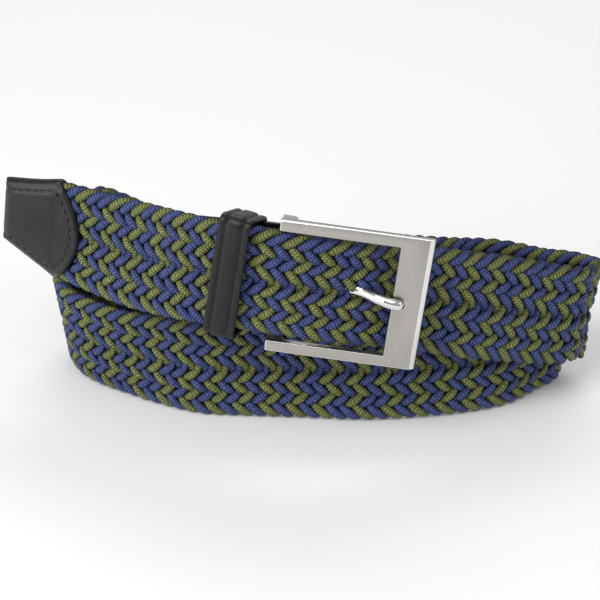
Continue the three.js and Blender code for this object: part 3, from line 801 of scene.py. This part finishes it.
def keeper_stitches():
    line = keeper_line()
    loop = np.concatenate([line, line[:1]])
    run = np.concatenate(([0], np.cumsum(np.linalg.norm(np.diff(loop[:, :2], axis=0), axis=1))))
    at = lambda s: np.stack([np.interp(s, run, loop[:, k]) for k in range(4)], axis=-1)
    count = int(run[-1] / KEEPER_STITCH_PITCH)
    middle = (np.arange(count) + 0.5) * run[-1] / count
    _, _, up, out = outer.frame(BAR_FROM_TIP - KEEPER_FROM_BAR)
    parts = []
    for seam in KEEPER_SEAMS:
        along = np.full(count, seam)
        wall = keeper_wall(along) + 0.02
        ends = [at(middle + side * KEEPER_STITCH_PITCH * 0.34) for side in (-1, 1)]
        first, second = (keeper_place(spots, along, wall) for spots in ends)
        ways = at(middle)
        normals = unit(ways[:, 2:3] * out + ways[:, 3:4] * up)
        parts += stitch_parts(first, second, normals, *KEEPER_THREAD)
    return joined(parts)


keeper = add_mesh("keeper_strip", *keeper_mesh(), [keeper_leather], "keeper_leather")
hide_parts("keeper_loop")
add_mesh("keeper_stitches", *keeper_stitches(), [black_thread], "keeper_leather", turn_out=False)


# Chape, as one strip of leather folded round the crossbar, with a slot for the prong

def chape_line():
    """The folded strip's line at a place across it, front ply first, and its distances from the bar."""
    radius = STITCHED_THICK / 2 + FIT + LEATHER / 2
    lengths = np.linspace(STRAP_LENGTH - CHAPE_LENGTH, STRAP_LENGTH, 29)
    turns = np.linspace(np.pi / 2, -np.pi / 2, 13)[1:-1]

    def at(across):
        side = np.full(len(lengths), across)
        front = strap.place(lengths, side, np.full(len(lengths), radius))
        back = strap.place(lengths, side, np.full(len(lengths), -radius))[::-1]
        level = np.full(len(turns), across)
        fold = from_buckle(np.stack([radius * np.cos(turns), level, radius * np.sin(turns)], axis=-1))
        return np.concatenate([front, fold, back])

    return at, np.concatenate([STRAP_LENGTH - lengths, np.zeros(len(turns)), (STRAP_LENGTH - lengths)[::-1]])


def chape_mesh():
    at, from_bar = chape_line()
    slot = PRONG_WIDTH / 2 + SLOT_SIDE
    half = CHAPE_WIDTH / 2
    columns = np.concatenate([np.linspace(-half, -slot, 9), [0], np.linspace(slot, half, 9)])
    grid = np.stack([at(across) for across in columns], axis=1)
    rows, count = grid.shape[:2]
    faces = []
    for i in range(rows - 1):
        for j in range(count - 1):
            in_slot = abs(columns[j] + columns[j + 1]) < slot * 1.5
            if in_slot and max(from_bar[i], from_bar[i + 1]) < CHAPE_SLOT:
                continue
            faces.append((i * count + j, i * count + j + 1, (i + 1) * count + j + 1, (i + 1) * count + j))
    return grid.reshape(-1, 3), faces


def chape_stitches():
    edge = CHAPE_WIDTH / 2 - CHAPE_SEAM_INSET
    rows = np.arange(STRAP_LENGTH - CHAPE_LENGTH + CHAPE_SEAM_INSET, STRAP_LENGTH - 7, CHAPE_STITCH_PITCH)
    height = STITCHED_THICK / 2 + FIT + LEATHER
    parts = []
    for sign in (1, -1):
        starts = []
        ends = []
        for across in (edge, -edge):
            starts += [(length, across) for length in rows]
            ends += [(length + CHAPE_STITCH_LENGTH, across) for length in rows]
        columns = np.arange(-edge + 0.45, edge - 1.6, CHAPE_STITCH_PITCH)
        starts += [(rows[0], across) for across in columns]
        ends += [(rows[0], across + CHAPE_STITCH_LENGTH) for across in columns]
        starts = np.array(starts)
        ends = np.array(ends)
        place = lambda p: strap.place(p[:, 0], p[:, 1], np.full(len(p), sign * height))
        parts += stitch_parts(place(starts), place(ends), sign * strap.frame(starts[:, 0])[3], *CHAPE_THREAD)
    return joined(parts)


chape = add_mesh("chape_strip", *chape_mesh(), [black_leather], "chape_leather", turn_out=False)
thickness = chape.modifiers.new("leather", "SOLIDIFY")
thickness.thickness = LEATHER * MM
thickness.offset = 0
edges = chape.modifiers.new("edges", "BEVEL")
edges.width = LEATHER_EDGE * MM
edges.segments = 3
edges.limit_method = "ANGLE"
edges.angle_limit = math.radians(50)
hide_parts("leather_chape")
add_mesh("chape_stitches", *chape_stitches(), [black_thread], "chape_leather", turn_out=False)


# Buckle and prong, built in the buckle's own axes and placed at the end

def plain_object(name, points, faces):
    mesh = bpy.data.meshes.new(name)
    mesh.from_pydata((np.asarray(points) * MM).tolist(), [], faces)
    piece = bpy.data.objects.new(name, mesh)
    bpy.context.scene.collection.objects.link(piece)
    work = bmesh.new()
    work.from_mesh(mesh)
    bmesh.ops.recalc_face_normals(work, faces=work.faces)
    work.to_mesh(mesh)
    work.free()
    return piece


def plate_mesh():
    """Points and faces of the cast plate, with its window and notch cut and its edges bevelled."""
    back = FACE_HEIGHT - ARM_THICK
    t = np.linspace(0, 1, 13)
    start = np.array([BUCKLE_REACH, back + 0.5])
    corner = np.array([BUCKLE_REACH, FACE_HEIGHT])
    end = np.array([BUCKLE_REACH - BAR_ROUND, FACE_HEIGHT])
    curve = [(1 - k) ** 2 * start + 2 * k * (1 - k) * corner + k * k * end for k in t]
    side = [(-BUCKLE_HEEL, back), (BUCKLE_REACH - 0.5, back), *map(tuple, curve), (-BUCKLE_HEEL, FACE_HEIGHT)]
    body = plain_object("plate", *prism(side, -OUTER_HEIGHT / 2, OUTER_HEIGHT / 2, (0, 2, 1)))
    half = WINDOW_HEIGHT / 2
    window = [(-20, -half), (FRONT_BAR_START, -half), (FRONT_BAR_START, half), (-20, half)]
    room = PRONG_WIDTH / 2 + FIT
    far = FRONT_BAR_START + PRONG_OVERLAP - room
    round_end = [(far + room * math.sin(a), -room * math.cos(a)) for a in np.linspace(0, np.pi, 17)]
    notch = [(FRONT_BAR_START - 4, -room), *round_end, (FRONT_BAR_START - 4, room)]
    cutters = [
        plain_object("window", *prism(window, -30, 30, (0, 1, 2))),
        plain_object("notch", *prism(notch, FACE_HEIGHT - NOTCH_DEPTH, FACE_HEIGHT + 4, (0, 1, 2))),
    ]
    for cutter in cutters:
        cut = body.modifiers.new(cutter.name, "BOOLEAN")
        cut.object = cutter
        cut.operation = "DIFFERENCE"
        cut.solver = "EXACT"
    bevel = body.modifiers.new("bevel", "BEVEL")
    bevel.width = METAL_EDGE * MM
    bevel.segments = 3
    bevel.limit_method = "ANGLE"
    bevel.angle_limit = math.radians(40)
    made = bpy.data.meshes.new_from_object(body.evaluated_get(bpy.context.evaluated_depsgraph_get()))
    points = [tuple(v.co / MM) for v in made.vertices]
    faces = [tuple(face.vertices) for face in made.polygons]
    for piece in (body, *cutters):
        bpy.data.objects.remove(piece)
    return np.array(points), faces


def crossbar_mesh():
    angle = 2 * np.pi * np.arange(24) / 24
    rings = []
    for across in (-(WINDOW_HEIGHT + EAR) / 2, (WINDOW_HEIGHT + EAR) / 2):
        ring = [CROSSBAR_RADIUS * np.cos(angle), np.full(24, across), CROSSBAR_RADIUS * np.sin(angle)]
        rings.append(np.stack(ring, axis=-1))
    parts = [tube(rings)]
    heel = -BUCKLE_HEEL + 0.5
    top = FACE_HEIGHT - ARM_THICK / 2
    quarter = np.linspace(0, -np.pi / 2, 9)
    turn = [(CROSSBAR_RADIUS * math.cos(a), CROSSBAR_RADIUS * math.sin(a)) for a in quarter]
    outline = [(heel, top), (CROSSBAR_RADIUS, top), *turn, (heel, -CROSSBAR_RADIUS)]
    for sign in (1, -1):
        low, high = sorted((sign * WINDOW_HEIGHT / 2, sign * (WINDOW_HEIGHT / 2 + EAR)))
        parts.append(prism(outline, low, high, (0, 2, 1)))
    return joined(parts)


def prong_mesh():
    reach = FRONT_BAR_START + PRONG_OVERLAP - 2 * FIT
    height = FACE_HEIGHT - NOTCH_DEPTH + FIT + PRONG_THICK / 2
    line = spline([(along * reach, rise * height) for along, rise in PRONG_ROWS], 12)
    line = np.concatenate([line[:-1], np.linspace(line[-2], line[-1], 12)[1:]])
    way = unit(np.gradient(line, axis=0))
    to_tip = np.linalg.norm(line - line[-1], axis=1)
    size = np.sqrt(np.maximum(0.012, 1 - (1 - np.minimum(to_tip / 1.7, 1)) ** 2))
    sides = 28
    angle = 2 * np.pi * np.arange(sides) / sides
    rings = []
    for spot, forward, part in zip(line, way, size):
        out = np.array([-forward[1], 0, forward[0]])
        middle = np.array([spot[0], 0, spot[1]])
        wide = PRONG_WIDTH / 2 * part * np.cos(angle)[:, None] * np.array([0, 1, 0])
        rings.append(middle + wide + PRONG_THICK / 2 * part * np.sin(angle)[:, None] * out)
    inner = CROSSBAR_RADIUS + FIT
    half = PRONG_WIDTH / 2
    middle = inner + PRONG_LOOP / 2
    section = [(middle + PRONG_LOOP / 2 * math.copysign(abs(math.cos(a)) ** 0.5, math.cos(a)),
                half * math.copysign(abs(math.sin(a)) ** 0.5, math.sin(a))) for a in angle]
    turns = 2 * np.pi * np.arange(36) / 36
    loop = [[(r * math.cos(a), w, r * math.sin(a)) for r, w in section] for a in turns]
    return joined([tube(rings), tube(loop, closed=True)])


plate_points, plate_faces = plate_mesh()
plate_metals = [satin_nickel, bright_nickel]
plate = add_mesh("buckle_plate", from_buckle(plate_points), plate_faces, plate_metals, "satin_metal")
for face in plate.data.polygons:
    along, across, _ = buckle_axes @ (np.array(face.center) / MM - crossbar_point)
    outside = along > FRONT_BAR_START + 1 or abs(across) > WINDOW_HEIGHT / 2 + 1
    turned = abs(face.normal.dot(Vector(buckle_out))) < 0.97
    face.material_index = 1 if outside and turned else 0
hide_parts("buckle_frame")
bar_points, bar_faces = crossbar_mesh()
add_mesh("buckle_crossbar", from_buckle(bar_points), bar_faces, [satin_nickel], "satin_metal")
prong_points, prong_faces = prong_mesh()
prong = add_mesh("prong_rod", from_buckle(prong_points), prong_faces, [chrome], "polished_metal")
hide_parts("prong")


# Floor, light and camera

def stage_plane(name, size, place, colour, roughness):
    mesh = bpy.data.meshes.new(name)
    half = size / 2
    corners = [(-half, -half, 0), (half, -half, 0), (half, half, 0), (-half, half, 0)]
    mesh.from_pydata(corners, [], [(0, 1, 2, 3)])
    plane = bpy.data.objects.new(name, mesh)
    plane.location = place
    material, tree, shader = new_material(name, Roughness=roughness)
    shade = ramp_node(tree, noise_node(tree, 3, 3), ((0.3, colour), (0.7, tuple(c * 0.985 for c in colour))))
    tree.links.new(shade, shader.inputs["Base Color"])
    mesh.materials.append(material)
    bpy.context.scene.collection.objects.link(plane)
    return plane


def area_light(name, place, aim, size, power):
    lamp = bpy.data.lights.new(name, "AREA")
    lamp.shape = "RECTANGLE"
    lamp.size, lamp.size_y = size
    lamp.energy = power
    light = bpy.data.objects.new(name, lamp)
    light.location = place
    light.rotation_euler = (Vector(aim) - Vector(place)).to_track_quat("-Z", "Y").to_euler()
    bpy.context.scene.collection.objects.link(light)


stage_plane("floor", 12, (0, 0, 0), (0.93, 0.93, 0.93), 0.8)
area_light("key", (-0.45, -0.55, 0.95), (0, 0, 0.03), (0.7, 0.5), 6)
area_light("fill", (0.75, -0.5, 0.5), (0, 0, 0.03), (0.5, 0.5), 1.5)
area_light("side", (-0.75, -0.4, 0.22), (-0.05, 0, 0.05), (0.4, 0.36), 2.5)
area_light("back", (0.1, 0.7, 0.8), (0, 0, 0.03), (0.8, 0.3), 2.5)

scene = bpy.context.scene
world = bpy.data.worlds.new("studio")
scene.world = world
world.use_nodes = True
sky = world.node_tree
directions = sky.nodes.new("ShaderNodeTexCoord").outputs["Generated"]
way_up = add_node(sky, "ShaderNodeSeparateXYZ", [("Vector", directions)])
shade = ramp_node(sky, way_up.outputs["Z"], ((0.0, (0.25, 0.25, 0.26)), (0.35, (1.0, 1.0, 1.0))))
sky.links.new(shade, sky.nodes["Background"].inputs["Color"])
sky.nodes["Background"].inputs["Strength"].default_value = 0.5
scene.view_settings.view_transform = "Standard"
scene.view_settings.look = "None"

camera_data = bpy.data.cameras.new("camera")
camera_data.lens = FOCAL
camera_data.sensor_width = 36
camera_data.clip_start = 0.01
camera = bpy.data.objects.new("camera", camera_data)
target = Vector(CAMERA_TARGET) * MM
elevation = math.radians(CAMERA_ELEVATION)
camera.location = target + CAMERA_DISTANCE * MM * Vector((0, -math.cos(elevation), math.sin(elevation)))
camera.rotation_euler = (target - camera.location).to_track_quat("-Z", "Y").to_euler()
scene.collection.objects.link(camera)
scene.camera = camera
